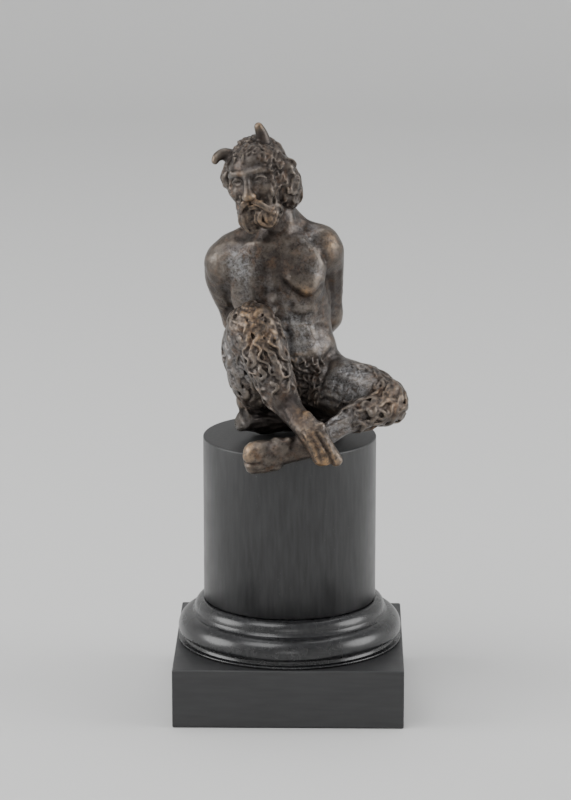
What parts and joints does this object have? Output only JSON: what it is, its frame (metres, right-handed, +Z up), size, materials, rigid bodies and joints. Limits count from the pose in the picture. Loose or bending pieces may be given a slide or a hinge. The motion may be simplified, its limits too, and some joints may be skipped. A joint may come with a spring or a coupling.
{
  "type": "faun statue",
  "caption": "Seated bronze faun, cross-legged on a short log with its arms behind its back, fixed on a black turned wood drum over a square plinth.",
  "frame": {"origin": "middle of the square plinth's underside, on the axis of the turned drum", "axes": "+Z up through the drum; the faun faces -Y; +X is to the viewer's right"},
  "size_m": [0.092, 0.095, 0.2317],
  "materials": {
    "patinated_bronze": "dark brown patina over bronze, worn to golden brown on the raised curls, knees and hooves",
    "satin_black_wood": "ebonised hardwood, satin",
    "polished_black_wood": "ebonised hardwood, polished"
  },
  "bodies": {
    "root": {"bronze_faun": "patinated_bronze", "column_drum": "satin_black_wood", "moulded_base": "polished_black_wood", "square_plinth": "satin_black_wood"}
  },
  "joints": []
}
